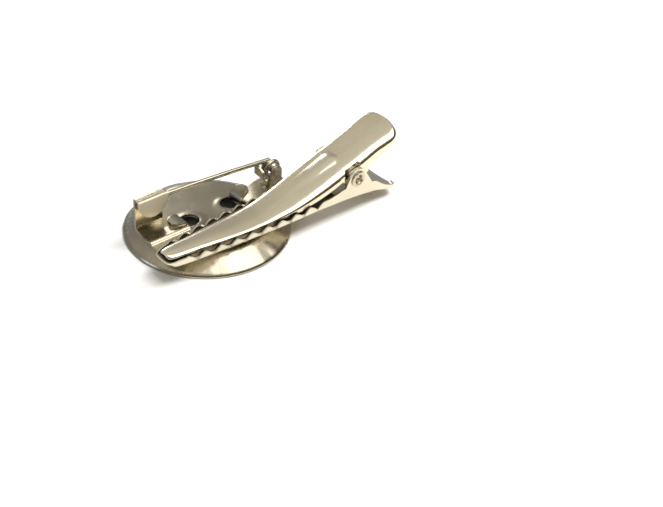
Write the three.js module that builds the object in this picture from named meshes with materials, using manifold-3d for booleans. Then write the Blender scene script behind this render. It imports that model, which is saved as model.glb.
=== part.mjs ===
// Hair clip and brooch finding: a round dished tray with a toothed alligator clip and a sprung brooch pin.
// Millimetres, +Z up. The origin is the middle of the tray's gluing floor, which faces down, so the tray
// rests on its rim with the mechanism on top. +X runs along the clip to its nose, -Y is the pin's side.
import * as THREE from "three";
import { mergeVertices } from "three/addons/utils/BufferGeometryUtils.js";
import Module from "manifold-3d";

const wasm = await Module();
wasm.setup();

// ---- driving dimensions ----
const SHEET = 0.45; // every stamping is the same plated steel strip
const FIT = 0.05; // gap between pieces that touch

const TRAY = { rimRadius: 13.5, floorRadius: 9.8, depth: 2.05, bend: 0.9 };
const HOLE = { noseX: 2.9, tailX: -4.6, y: -0.45, length: 2.7, width: 3.3 };
const TONGUE = { reach: 3.2, width: 3.1, tipWidth: 1.8, tipZ: 2.45 };

const CLIP_Y = 7.0; // the clip lies beside the tray's middle line
const PIVOT = { x: -22.0, z: 4.65, hole: 0.95 };
const LEVER_END = -31.7;
const TOOTH = { first: 10.6, pitch: 2.85, count: 8, height: 0.9, gap: 0.14, flat: 0.12, mouth: 1.35, spread: 0.96 };
const MESH_Z = 2.05; // middle of the closed teeth
const SLICE = 2.1; // longest step between two slices of a channel
const LIP = 0.1; // least straight flange below a bend

const LOWER_EAR = { radius: 2.05, outer: 4.5, footNose: [-18.4, 2.4], footTail: [-26.4, 1.6] };
const UPPER_EAR = { radius: 2.25, outer: 4.0, footNose: [-18.6, 5.4], footTail: [-26.6, 7.4] };
const CUT = 6; // half length of a cutter that passes through both flanges
const RIVET = { shank: 0.88, head: 1.7, headHeight: 0.6, stake: 1.25, stakeHeight: 0.32 };

const BAR = { bottom: SHEET + FIT, nose: 11.8, tail: -16.3 };
const CATCH = { tail: 6.7, backY: -3.2, top: 6.8, gap: 0.85, flap: 3.5 };
const JOINT = { x: -14.3, z: 3.1, y: -1.35, inner: 2.1, ear: 1.8, noseX: -11.7, hole: 0.62 };
const PIN_RIVET = { shank: 0.56, head: 0.9, crown: 0.75, headHeight: 0.3 };

const PIN = { wire: 0.75, coil: 1.4, turns: 1.5, pitch: 0.82, tipX: 9.4, tipY: -2.32, tipZ: 5.93, point: 2.0 };
const SPRING = { wire: 0.8, coil: 1.5, turns: 4, pitch: 0.88, legX: -29.6, legZ: 8.8, footX: -28.6, footZ: 0.7 };

// Key stations of the two channels: x, half width outside, height of the web's edge, height of the flange's edge.
const UPPER_KEYS = [
  [13.4, 1.5, 3.12, 2.6], [12, 1.8, 3.15, 2.5], [11.0, 1.98, 3.13, 2.48], [10.6, 2.05, 3.12, 1.7], [8, 2.5, 3.05, 1.7],
  [4, 2.95, 2.97, 1.7], [0, 3.3, 2.91, 1.7], [-4, 3.55, 2.95, 1.7], [-8, 3.75, 3.3, 1.7],
  [-9.6, 3.82, 3.55, 1.8], [-11.5, 3.88, 3.97, 2.65], [-14, 3.94, 4.65, 3.2], [-17, 3.98, 5.55, 4.0],
  [-19, 4.0, 6.2, 4.7], [-26.5, 4.0, 8.9, 6.3], [-28.5, 4.2, 9.6, 7.6], [LEVER_END, 4.3, 10.5, 9.0],
];
const LOWER_KEYS = [
  [13.8, 1.9, 1.0, 1.9], [12, 2.35, 1.0, 2.35], [8, 3.0, 1.0, 2.5], [4, 3.4, 1.0, 2.5],
  [0, 3.7, 1.0, 2.5], [-4, 3.95, 1.0, 2.5], [-8, 4.1, 1.0, 2.5], [-9.6, 4.15, 1.0, 2.45],
  [-12, 4.2, 1.0, 2.5], [-15, 4.3, 1.0, 2.8], [-17.5, 4.45, 0.98, 3.2], [-19.2, 4.5, 0.92, 3.6],
  [-26, 4.5, 0.1, 2.6], [-28.5, 4.6, -0.5, 1.0], [LEVER_END, 4.7, -1.3, -0.2],
];

const STEEL = { color: 0xb8ae96, roughness: 0.22, metalness: 1.0 };
const WIRE_STEEL = { color: 0xc2bba8, roughness: 0.3, metalness: 1.0 };

// ---- solids and booleans ----
function signedVolume(positions, index) {
  const a = new THREE.Vector3();
  const b = new THREE.Vector3();
  const c = new THREE.Vector3();
  let six = 0;
  for (let i = 0; i < index.length; i += 3) {
    a.fromArray(positions, 3 * index[i]);
    b.fromArray(positions, 3 * index[i + 1]);
    c.fromArray(positions, 3 * index[i + 2]);
    six += a.dot(b.cross(c));
  }
  return six / 6;
}

function toSolid(geometry) {
  const bare = geometry.clone();
  bare.deleteAttribute("normal");
  bare.deleteAttribute("uv");
  const merged = mergeVertices(bare, 1e-4);
  const vertProperties = new Float32Array(merged.attributes.position.array);
  const triVerts = new Uint32Array(merged.index.array);
  if (signedVolume(vertProperties, triVerts) < 0) {
    for (let i = 0; i < triVerts.length; i += 3) {
      [triVerts[i], triVerts[i + 1]] = [triVerts[i + 1], triVerts[i]];
    }
  }
  return new wasm.Manifold(new wasm.Mesh({ numProp: 3, vertProperties, triVerts }));
}

function toGeometry(solid) {
  const mesh = solid.getMesh();
  const geometry = new THREE.BufferGeometry();
  geometry.setAttribute("position", new THREE.BufferAttribute(new Float32Array(mesh.vertProperties), 3));
  geometry.setIndex(new THREE.BufferAttribute(new Uint32Array(mesh.triVerts), 1));
  geometry.computeVertexNormals();
  return geometry;
}

// A flat outline drawn in the XZ plane, given a thickness from y0 to y1.
function plateXZ(shape, y0, y1) {
  const geometry = new THREE.ExtrudeGeometry(shape, { depth: y1 - y0, bevelEnabled: false, curveSegments: 12 });
  geometry.rotateX(Math.PI / 2);
  geometry.translate(0, y1, 0);
  return toSolid(geometry);
}

// A flat outline drawn in the XY plane, given a thickness from z0 to z1.
function plateXY(shape, z0, z1) {
  const geometry = new THREE.ExtrudeGeometry(shape, { depth: z1 - z0, bevelEnabled: false, curveSegments: 12 });
  geometry.translate(0, 0, z0);
  return toSolid(geometry);
}

function polygon(points) {
  return new THREE.Shape(points.map(([u, v]) => new THREE.Vector2(u, v)));
}

// A round bar along Y.
function barY(radius, y0, y1, x, z, sides = 32) {
  const geometry = new THREE.CylinderGeometry(radius, radius, y1 - y0, sides);
  geometry.translate(x, (y0 + y1) / 2, z);
  return toSolid(geometry);
}

// Cubic through the key stations that never overshoots, so a level stretch stays level.
function stationCurve(keys, column) {
  const xs = keys.map((key) => key[0]);
  const ys = keys.map((key) => key[column]);
  const slopes = xs.slice(1).map((x, i) => (ys[i + 1] - ys[i]) / (x - xs[i]));
  const tangents = xs.map((_, i) => {
    const before = slopes[Math.max(i - 1, 0)];
    const after = slopes[Math.min(i, slopes.length - 1)];
    return before * after <= 0 ? 0 : (2 * before * after) / (before + after);
  });
  return (x) => {
    let i = 0;
    while (i < xs.length - 2 && x < xs[i + 1]) i += 1;
    const h = xs[i + 1] - xs[i];
    const t = THREE.MathUtils.clamp((x - xs[i]) / h, 0, 1);
    const t2 = t * t;
    const t3 = t2 * t;
    return (2 * t3 - 3 * t2 + 1) * ys[i] + (t3 - 2 * t2 + t) * h * tangents[i]
      + (3 * t2 - 2 * t3) * ys[i + 1] + (t3 - t2) * h * tangents[i + 1];
  };
}

// A closed sheet between two grids of points of the same size.
function sheetGeometry(outer, inner) {
  const rows = outer.length;
  const columns = outer[0].length;
  const positions = [];
  for (const grid of [outer, inner]) {
    for (const row of grid) {
      for (const point of row) positions.push(point.x, point.y, point.z);
    }
  }
  const at = (side, i, j) => side * rows * columns + i * columns + j;
  const index = [];
  const quad = (a, b, c, d) => index.push(a, b, c, a, c, d);
  for (let i = 0; i < rows - 1; i += 1) {
    for (let j = 0; j < columns - 1; j += 1) {
      quad(at(0, i, j), at(0, i + 1, j), at(0, i + 1, j + 1), at(0, i, j + 1));
      quad(at(1, i, j), at(1, i, j + 1), at(1, i + 1, j + 1), at(1, i + 1, j));
    }
  }
  for (let i = 0; i < rows - 1; i += 1) {
    quad(at(0, i + 1, 0), at(0, i, 0), at(1, i, 0), at(1, i + 1, 0));
    quad(at(0, i, columns - 1), at(0, i + 1, columns - 1), at(1, i + 1, columns - 1), at(1, i, columns - 1));
  }
  for (let j = 0; j < columns - 1; j += 1) {
    quad(at(0, 0, j), at(0, 0, j + 1), at(1, 0, j + 1), at(1, 0, j));
    quad(at(0, rows - 1, j + 1), at(0, rows - 1, j), at(1, rows - 1, j), at(1, rows - 1, j + 1));
  }
  const geometry = new THREE.BufferGeometry();
  geometry.setAttribute("position", new THREE.Float32BufferAttribute(positions, 3));
  geometry.setIndex(index);
  return geometry;
}

// One slice of a channel: flange, rounded bend, crowned web, bend, flange. side is +1 with the web on top.
function channelSlice(x, halfWidth, web, edge, side, shape, inset) {
  const corner = Math.min(shape.corner, halfWidth * 0.6, Math.abs(web - edge) - LIP);
  const radius = Math.max(corner - inset, 0.12);
  const centreZ = web - side * corner;
  const points = [];
  const put = (y, z) => points.push(new THREE.Vector3(x, CLIP_Y + y, z));
  const wall = halfWidth - inset;
  put(-wall, edge);
  for (let k = 0; k <= shape.cornerSteps; k += 1) {
    const a = (Math.PI / 2) * (k / shape.cornerSteps);
    put(-(halfWidth - corner) - radius * Math.cos(a), centreZ + side * radius * Math.sin(a));
  }
  const flat = halfWidth - corner;
  for (let k = 1; k < shape.webSteps; k += 1) {
    const y = flat * (-1 + (2 * k) / shape.webSteps);
    const crown = shape.crown * (1 - (y / flat) ** 2);
    put(y, centreZ + side * (radius + crown));
  }
  for (let k = shape.cornerSteps; k >= 0; k -= 1) {
    const a = (Math.PI / 2) * (k / shape.cornerSteps);
    put(halfWidth - corner + radius * Math.cos(a), centreZ + side * radius * Math.sin(a));
  }
  put(wall, edge);
  return points;
}

function channel(keys, side, shape, stations) {
  const width = stationCurve(keys, 1);
  const web = stationCurve(keys, 2);
  const edge = stationCurve(keys, 3);
  const noseX = keys[0][0];
  const noseRound = shape.noseRound;
  const outer = [];
  const inner = [];
  for (const x of stations) {
    const into = Math.min(noseX - x, noseRound);
    const pull = noseRound - Math.sqrt(Math.max(noseRound ** 2 - (noseRound - into) ** 2, 0));
    const halfWidth = width(x) - pull * 0.8;
    outer.push(channelSlice(x, halfWidth, web(x), edge(x), side, shape, 0));
    inner.push(channelSlice(x, halfWidth, web(x), edge(x), side, shape, SHEET));
  }
  return toSolid(sheetGeometry(outer, inner));
}

// Slices close together round the nose, then at every key station and evenly between them.
function stationList(keys) {
  const noseX = keys[0][0];
  const list = [0, 0.12, 0.35, 0.7, 1.1].map((back) => noseX - back);
  for (let i = 1; i < keys.length; i += 1) {
    const from = Math.min(keys[i - 1][0], list.at(-1));
    const to = keys[i][0];
    const steps = Math.ceil((from - to) / SLICE);
    for (let k = 1; k <= steps; k += 1) list.push(THREE.MathUtils.lerp(from, to, k / steps));
  }
  return list;
}

// V notches across both flanges; up is +1 where the notch opens upwards.
function toothNotches(firstX, up) {
  const half = TOOTH.pitch / 2;
  const root = MESH_Z - up * (TOOTH.height / 2 - TOOTH.gap / 2 + TOOTH.gap);
  let notches = null;
  for (let k = 0; k < TOOTH.count; k += 1) {
    const x = firstX - k * TOOTH.pitch;
    const open = root + up * TOOTH.height * TOOTH.mouth;
    const reach = half * TOOTH.spread * TOOTH.mouth;
    const wedge = polygon([[x - TOOTH.flat, root], [x + TOOTH.flat, root], [x + reach, open], [x - reach, open]]);
    const cut = plateXZ(wedge, CLIP_Y - CUT, CLIP_Y + CUT);
    notches = notches ? notches.add(cut) : cut;
  }
  return notches;
}

// Ear outline round the pivot, closed on a straight foot inside the flange. turn is +1 with the ear on top.
function ear({ radius, footNose, footTail }, turn) {
  const toNose = Math.atan2(footNose[1] - PIVOT.z, footNose[0] - PIVOT.x);
  const toTail = Math.atan2(footTail[1] - PIVOT.z, footTail[0] - PIVOT.x);
  const noseReach = Math.hypot(footNose[0] - PIVOT.x, footNose[1] - PIVOT.z);
  const tailReach = Math.hypot(footTail[0] - PIVOT.x, footTail[1] - PIVOT.z);
  const shape = new THREE.Shape();
  shape.moveTo(footNose[0], footNose[1]);
  const startAngle = toNose + turn * Math.acos(radius / noseReach);
  const endAngle = toTail - turn * Math.acos(radius / tailReach);
  shape.absarc(PIVOT.x, PIVOT.z, radius, startAngle, endAngle, turn < 0);
  shape.lineTo(footTail[0], footTail[1]);
  return shape;
}

function bothEars(shape, outer) {
  const near = plateXZ(shape, CLIP_Y + outer - SHEET, CLIP_Y + outer);
  const far = plateXZ(shape, CLIP_Y - outer, CLIP_Y - outer + SHEET);
  return near.add(far);
}

function leverPlan(halfWidth, corner) {
  const shape = new THREE.Shape();
  const end = LEVER_END;
  shape.moveTo(20, CLIP_Y - 8);
  shape.lineTo(20, CLIP_Y + 8);
  shape.lineTo(end + 6, CLIP_Y + 8);
  shape.lineTo(end + 6, CLIP_Y + halfWidth);
  shape.lineTo(end + corner, CLIP_Y + halfWidth);
  shape.absarc(end + corner, CLIP_Y + halfWidth - corner, corner, Math.PI / 2, Math.PI, false);
  shape.absarc(end + corner, CLIP_Y - halfWidth + corner, corner, Math.PI, 1.5 * Math.PI, false);
  shape.lineTo(end + 6, CLIP_Y - halfWidth);
  shape.lineTo(end + 6, CLIP_Y - 8);
  return plateXY(shape, -10, 20);
}

// A round wire along a list of points.
function wire(points, diameter, steps) {
  const path = new THREE.CatmullRomCurve3(points, false, "centripetal");
  const section = new THREE.Shape();
  section.absarc(0, 0, diameter / 2, 0, 2 * Math.PI, false);
  return new THREE.ExtrudeGeometry(section, { steps, extrudePath: path, curveSegments: 3, bevelEnabled: false });
}

// Points of a coil about a Y axis through (x, z), from one angle to another while y runs on.
function coilPoints(x, z, radius, fromAngle, toAngle, fromY, toY, perTurn = 14) {
  const count = Math.max(2, Math.round((Math.abs(toAngle - fromAngle) / (2 * Math.PI)) * perTurn));
  const points = [];
  for (let k = 0; k <= count; k += 1) {
    const a = THREE.MathUtils.lerp(fromAngle, toAngle, k / count);
    const y = THREE.MathUtils.lerp(fromY, toY, k / count);
    points.push(new THREE.Vector3(x + radius * Math.cos(a), y, z + radius * Math.sin(a)));
  }
  return points;
}

// Angle on a circle where a line to an outside point leaves it; side picks one of the two.
function tangentAngle(x, z, radius, toX, toZ, side) {
  const reach = Math.hypot(toX - x, toZ - z);
  return Math.atan2(toZ - z, toX - x) + side * Math.acos(radius / reach);
}

// ---- the pieces ----
// A tongue lanced out of the tray: it stands on the hole's edge and leans over the brooch bar, narrowing.
function makeTongue(hinge, turn) {
  const low = BAR.bottom + SHEET + FIT;
  const { reach, width, tipWidth, tipZ } = TONGUE;
  const side = polygon([
    [hinge - turn * 0.02, 0], [hinge - turn * 0.02, low], [hinge + turn * 0.25, low + SHEET],
    [hinge + turn * reach * 0.55, tipZ - 0.25], [hinge + turn * reach * 0.85, tipZ],
    [hinge + turn * reach, tipZ - 0.1], [hinge + turn * reach, tipZ - SHEET],
    [hinge + turn * reach * 0.6, tipZ - 0.3 - SHEET], [hinge + turn * SHEET, low], [hinge + turn * SHEET, 0],
  ]);
  const plan = new THREE.Shape();
  plan.moveTo(hinge - turn, HOLE.y - width / 2);
  plan.lineTo(hinge + turn, HOLE.y - width / 2);
  plan.quadraticCurveTo(hinge + turn * reach, HOLE.y - width / 2, hinge + turn * (reach + 0.01),
    HOLE.y - tipWidth / 3);
  plan.lineTo(hinge + turn * (reach + 0.01), HOLE.y + tipWidth / 3);
  plan.quadraticCurveTo(hinge + turn * reach, HOLE.y + width / 2, hinge + turn, HOLE.y + width / 2);
  plan.lineTo(hinge - turn, HOLE.y + width / 2);
  const strip = plateXZ(side, HOLE.y - width / 2, HOLE.y + width / 2);
  return strip.intersect(plateXY(plan, -1, 5));
}

function makeTray() {
  const { rimRadius, floorRadius, depth, bend } = TRAY;
  const slope = Math.atan2(depth, rimRadius - floorRadius);
  const profile = [new THREE.Vector2(0, 0), new THREE.Vector2(floorRadius, 0)];
  profile.push(new THREE.Vector2(rimRadius - 0.25, -depth));
  profile.push(new THREE.Vector2(rimRadius, -depth));
  profile.push(new THREE.Vector2(rimRadius, -depth + 0.22));
  for (let k = 4; k >= 0; k -= 1) {
    const a = (slope * k) / 4;
    const run = floorRadius + 0.12 + bend * 1.6 * (Math.sin(a) - Math.sin(slope) / 2);
    profile.push(new THREE.Vector2(run, SHEET - bend * 1.6 * (1 - Math.cos(a))));
  }
  profile.push(new THREE.Vector2(0, SHEET));
  const dish = new THREE.LatheGeometry(profile, 72);
  dish.rotateX(Math.PI / 2);
  let tray = toSolid(dish);
  for (const [x, turn] of [[HOLE.noseX, 1], [HOLE.tailX, -1]]) {
    const half = HOLE.width / 2;
    const hinge = x + (turn * HOLE.length) / 2;
    const hole = new THREE.Shape();
    hole.moveTo(hinge, HOLE.y - half);
    hole.lineTo(hinge, HOLE.y + half);
    hole.lineTo(hinge - turn * (HOLE.length - half), HOLE.y + half);
    hole.absarc(hinge - turn * (HOLE.length - half), HOLE.y, half, Math.PI / 2, 1.5 * Math.PI, turn < 0);
    tray = tray.subtract(plateXY(hole, -1, 2));
    tray = tray.add(makeTongue(hinge, turn));
  }
  return toGeometry(tray);
}

function makeBroochBar() {
  const low = BAR.bottom;
  const high = low + SHEET;
  const noseHinge = HOLE.noseX + HOLE.length / 2 + SHEET + 0.15;
  const tailHinge = HOLE.tailX - HOLE.length / 2 - SHEET - 0.15;
  const { inner } = JOINT;
  const jointLow = JOINT.y - inner / 2 - SHEET;
  const jointHigh = JOINT.y + inner / 2 + SHEET;
  const plan = polygon([
    [BAR.nose, CATCH.backY], [BAR.nose, 2.2], [12.2, 5.9], [11.8, 7.9], [6, 8.4], [-12.5, 9.6], [-12.5, 5.0],
    [JOINT.noseX - 1.2, jointHigh], [BAR.tail, jointHigh], [BAR.tail, jointLow],
    [JOINT.noseX, jointLow], [tailHinge - 2.8, -2.0], [tailHinge, -1.9], [tailHinge, 3.0],
    [noseHinge, 3.0], [noseHinge, -2.4], [CATCH.tail, CATCH.backY],
  ]);
  let bar = plateXY(plan, low, high);
  const back = polygon([
    [BAR.nose, low], [BAR.nose - 0.1, CATCH.top], [CATCH.tail, CATCH.top], [CATCH.tail, low],
  ]);
  bar = bar.add(plateXZ(back, CATCH.backY, CATCH.backY + SHEET));
  const flapY = CATCH.backY + SHEET + CATCH.gap;
  const roof = polygon([
    [BAR.nose - 0.1, CATCH.backY], [BAR.nose - 0.1, flapY + SHEET], [CATCH.tail, flapY + SHEET],
    [CATCH.tail, CATCH.backY],
  ]);
  bar = bar.add(plateXY(roof, CATCH.top - SHEET, CATCH.top));
  const middle = (BAR.nose - 0.1 + CATCH.tail) / 2;
  const half = (BAR.nose - 0.1 - CATCH.tail) / 2;
  const flap = new THREE.Shape();
  flap.moveTo(middle + half, CATCH.top);
  flap.lineTo(middle - half, CATCH.top);
  flap.lineTo(middle - half, CATCH.top - CATCH.flap + half);
  flap.absarc(middle, CATCH.top - CATCH.flap + half, half, Math.PI, 2 * Math.PI, false);
  bar = bar.add(plateXZ(flap, flapY, flapY + SHEET));
  const cheek = new THREE.Shape();
  cheek.moveTo(JOINT.noseX, low);
  cheek.lineTo(JOINT.noseX, JOINT.z - 0.2);
  cheek.lineTo(JOINT.x + JOINT.ear * Math.cos(0.7), JOINT.z + JOINT.ear * Math.sin(0.7));
  cheek.absarc(JOINT.x, JOINT.z, JOINT.ear, 0.7, Math.PI - 0.1, false);
  cheek.lineTo(BAR.tail, low);
  for (const y of [jointLow, jointHigh - SHEET]) bar = bar.add(plateXZ(cheek, y, y + SHEET));
  bar = bar.subtract(barY(JOINT.hole, jointLow - 1, jointHigh + 1, JOINT.x, JOINT.z));
  return toGeometry(bar);
}

function makePinWire() {
  const { x, y, z } = JOINT;
  const radius = PIN.coil;
  const leave = tangentAngle(x, z, radius, PIN.tipX, PIN.tipZ, 1);
  const width = PIN.turns * PIN.pitch;
  const farY = y - width / 2;
  const nearY = y + width / 2;
  const start = leave - 2 * Math.PI * PIN.turns;
  const coil = coilPoints(x, z, radius, start, leave, nearY, farY);
  const first = coil[0];
  const tail = new THREE.Vector3(first.x + 1.6, first.y, first.z - 0.1);
  const tip = new THREE.Vector3(PIN.tipX, PIN.tipY, PIN.tipZ);
  const last = coil[coil.length - 1];
  const stem = [0.12, 0.3, 0.5, 0.7, 0.88, 1].map((t) => last.clone().lerp(tip, t));
  const body = toSolid(wire([tail, ...coil, ...stem], PIN.wire, 110));
  const along = tip.clone().sub(last).normalize();
  const cone = new THREE.ConeGeometry(PIN.wire / 2, PIN.point, 12);
  cone.applyQuaternion(new THREE.Quaternion().setFromUnitVectors(new THREE.Vector3(0, 1, 0), along));
  const seat = tip.clone().addScaledVector(along, PIN.point / 2 - 0.05);
  cone.translate(seat.x, seat.y, seat.z);
  return toGeometry(body.add(toSolid(cone)));
}

function makePinRivet() {
  const reach = JOINT.inner / 2 + SHEET;
  const { shank, head, crown, headHeight } = PIN_RIVET;
  const start = reach + FIT;
  const end = reach + headHeight;
  const profile = [[0, -end], [crown, -end], [head, -start], [shank, -start], [shank, start], [head, start],
    [crown, end], [0, end]];
  const lathe = new THREE.LatheGeometry(profile.map(([r, h]) => new THREE.Vector2(r, h)), 24);
  lathe.translate(JOINT.x, JOINT.y, JOINT.z);
  return toGeometry(toSolid(lathe));
}

function makeUpperJaw() {
  const shape = { corner: 1.0, cornerSteps: 4, webSteps: 6, crown: 0.5, noseRound: 1.1 };
  let jaw = channel(UPPER_KEYS, 1, shape, stationList(UPPER_KEYS));
  jaw = jaw.add(bothEars(ear(UPPER_EAR, -1), UPPER_EAR.outer));
  jaw = jaw.subtract(toothNotches(TOOTH.first, -1));
  jaw = jaw.intersect(leverPlan(UPPER_KEYS.at(-1)[1] + 0.25, 2.2));
  jaw = jaw.subtract(barY(PIVOT.hole, CLIP_Y - CUT, CLIP_Y + CUT, PIVOT.x, PIVOT.z));
  return toGeometry(jaw);
}

function makeLowerJaw() {
  const shape = { corner: 0.9, cornerSteps: 4, webSteps: 6, crown: 0.0, noseRound: 1.2 };
  let jaw = channel(LOWER_KEYS, -1, shape, stationList(LOWER_KEYS));
  jaw = jaw.add(bothEars(ear(LOWER_EAR, 1), LOWER_EAR.outer));
  jaw = jaw.subtract(toothNotches(TOOTH.first - TOOTH.pitch / 2, 1));
  jaw = jaw.intersect(leverPlan(LOWER_KEYS.at(-1)[1] + 0.25, 1.8));
  jaw = jaw.subtract(barY(PIVOT.hole, CLIP_Y - CUT, CLIP_Y + CUT, PIVOT.x, PIVOT.z));
  return toGeometry(jaw);
}

function makeJawRivet() {
  const out = LOWER_EAR.outer + FIT;
  const { shank, head, headHeight, stake, stakeHeight } = RIVET;
  const profile = [[0, -out - headHeight], [head * 0.6, -out - headHeight * 0.9], [head, -out - headHeight * 0.3],
    [head, -out], [shank, -out], [shank, out], [stake, out], [stake, out + stakeHeight * 0.6],
    [stake * 0.8, out + stakeHeight], [0, out + stakeHeight]];
  const lathe = new THREE.LatheGeometry(profile.map(([r, h]) => new THREE.Vector2(r, h)), 32);
  lathe.translate(PIVOT.x, CLIP_Y, PIVOT.z);
  return toGeometry(toSolid(lathe));
}

function makeJawSpring() {
  const { x, z } = PIVOT;
  const { coil: radius, turns, pitch } = SPRING;
  const legAngle = tangentAngle(x, z, radius, SPRING.legX, SPRING.legZ, 1);
  const footAngle = tangentAngle(x, z, radius, SPRING.footX, SPRING.footZ, -1);
  const half = (turns * pitch) / 2;
  const span = footAngle - legAngle;
  const turned = ((span % (2 * Math.PI)) + 2 * Math.PI) % (2 * Math.PI);
  const coil = coilPoints(x, z, radius, legAngle, legAngle - 2 * Math.PI * turns + turned,
    CLIP_Y + half, CLIP_Y - half);
  const legEnd = new THREE.Vector3(SPRING.legX, CLIP_Y + 2.6, SPRING.legZ);
  const footEnd = new THREE.Vector3(SPRING.footX, CLIP_Y - 2.6, SPRING.footZ);
  const leg = [1, 0.6, 0.25].map((t) => coil[0].clone().lerp(legEnd, t));
  const foot = [0.25, 0.6, 1].map((t) => coil[coil.length - 1].clone().lerp(footEnd, t));
  return toGeometry(toSolid(wire([...leg, ...coil, ...foot], SPRING.wire, 120)));
}

// ---- the assembly ----
function piece(name, geometry, finish) {
  const mesh = new THREE.Mesh(geometry, new THREE.MeshStandardMaterial(finish));
  mesh.name = name;
  return mesh;
}

const clip = new THREE.Group();
clip.add(
  piece("tray", makeTray(), STEEL),
  piece("brooch_bar", makeBroochBar(), STEEL),
  piece("pin_wire", makePinWire(), WIRE_STEEL),
  piece("pin_rivet", makePinRivet(), STEEL),
  piece("lower_jaw", makeLowerJaw(), STEEL),
  piece("upper_jaw", makeUpperJaw(), STEEL),
  piece("jaw_rivet", makeJawRivet(), STEEL),
  piece("jaw_spring", makeJawSpring(), WIRE_STEEL),
);

export default clip;
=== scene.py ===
"""Looks for the clip and brooch finding: plated steel sheet and wire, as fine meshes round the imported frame.

Lengths are millimetres until finish_piece() scales them to metres. +X runs along the clip to its nose, the
tray's gluing floor faces -Z at z = 0, and the pin is on the -Y side.
"""
import math

import bmesh
import bpy
from mathutils import Matrix, Vector, noise


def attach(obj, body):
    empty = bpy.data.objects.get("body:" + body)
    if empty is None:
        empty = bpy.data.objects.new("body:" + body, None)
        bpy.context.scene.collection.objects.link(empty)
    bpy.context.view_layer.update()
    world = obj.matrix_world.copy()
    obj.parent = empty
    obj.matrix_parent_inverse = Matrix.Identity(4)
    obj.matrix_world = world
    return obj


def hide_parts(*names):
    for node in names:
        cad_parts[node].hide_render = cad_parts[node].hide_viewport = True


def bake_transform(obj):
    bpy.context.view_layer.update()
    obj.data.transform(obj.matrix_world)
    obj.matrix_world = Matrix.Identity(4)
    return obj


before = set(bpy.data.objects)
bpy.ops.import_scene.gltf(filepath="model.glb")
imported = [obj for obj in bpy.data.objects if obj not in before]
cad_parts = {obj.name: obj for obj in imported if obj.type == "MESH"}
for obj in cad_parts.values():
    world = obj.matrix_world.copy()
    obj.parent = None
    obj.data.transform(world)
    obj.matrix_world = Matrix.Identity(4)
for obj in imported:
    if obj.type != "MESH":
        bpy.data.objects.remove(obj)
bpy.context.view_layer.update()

MM = 0.001
SHEET = 0.45
GAP = 0.05

# ---- driving dimensions, as in the frame ----
RIM_RADIUS, FLOOR_RADIUS, TRAY_DEPTH = 13.5, 9.8, 2.05
HOLE_Y, HOLE_LENGTH, HOLE_WIDTH = -0.45, 2.7, 3.3
HOLES = {"nose": (2.9, 1), "tail": (-4.6, -1)}
CLIP_Y = 7.0
PIVOT = Vector((-22.0, CLIP_Y, 4.65))
LEVER_END = -31.7
TOOTH_FIRST, TOOTH_PITCH, TOOTH_COUNT, TOOTH_HEIGHT = 10.6, 2.85, 8, 0.95
LOWER_TEETH = 9
MESH_Z = 2.05
BAR_LOW = SHEET + GAP
BAR_MID = BAR_LOW + SHEET / 2
CATCH_NOSE, CATCH_TAIL, CATCH_Y, CATCH_TOP, CATCH_GAP, CATCH_FLAP = 11.7, 6.7, -3.2, 6.8, 0.9, 3.5
JOINT = Vector((-14.3, -1.35, 3.1))
JOINT_INNER = 2.1
PIN_WIRE, PIN_COIL, PIN_TURNS, PIN_PITCH = 0.75, 1.4, 1.5, 0.82
PIN_TIP = Vector((9.4, -2.32, 5.93))
PIN_POINT = 2.0
PIN_SPLIT, PIN_HIDDEN = 16, 9  # steps of the coil, 32 to a turn
SPRING_WIRE, SPRING_COIL, SPRING_TURNS, SPRING_PITCH = 0.8, 1.5, 4, 0.88

# x, half width of the section, height where the web's bend starts, height of the flange's edge
UPPER_KEYS = [
    (13.4, 1.5, 3.12, 2.6), (12, 1.8, 3.15, 2.5), (11.0, 1.98, 3.13, 2.48), (10.6, 2.05, 3.12, 1.75),
    (8, 2.5, 3.05, 1.7), (4, 2.95, 2.97, 1.7), (0, 3.3, 2.91, 1.7), (-4, 3.55, 2.95, 1.7),
    (-8, 3.75, 3.3, 1.7), (-9.6, 3.82, 3.55, 1.8), (-11.5, 3.88, 3.97, 2.65), (-14, 3.94, 4.65, 3.2),
    (-17, 3.98, 5.55, 4.0), (-19, 4.0, 6.2, 4.7), (-26.5, 4.0, 8.9, 6.3), (-28.5, 4.2, 9.6, 7.6),
    (LEVER_END, 4.3, 10.5, 9.0),
]
LOWER_KEYS = [
    (13.8, 1.9, 1.0, 1.9), (12, 2.35, 1.0, 2.35), (8, 3.0, 1.0, 2.5), (4, 3.4, 1.0, 2.5),
    (0, 3.7, 1.0, 2.5), (-4, 3.95, 1.0, 2.5), (-8, 4.1, 1.0, 2.5), (-9.6, 4.15, 1.0, 2.45),
    (-12, 4.2, 1.0, 2.5), (-15, 4.3, 1.0, 2.8), (-17.5, 4.45, 0.98, 3.2), (-19.2, 4.5, 0.92, 3.6),
    (-26, 4.5, 0.1, 2.6), (-28.5, 4.6, -0.5, 1.0), (LEVER_END, 4.7, -1.3, -0.2),
]


# ---- small maths ----
def lerp(a, b, t):
    return a + (b - a) * t


def smooth(t):
    t = min(max(t, 0.0), 1.0)
    return t * t * (3 - 2 * t)


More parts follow.
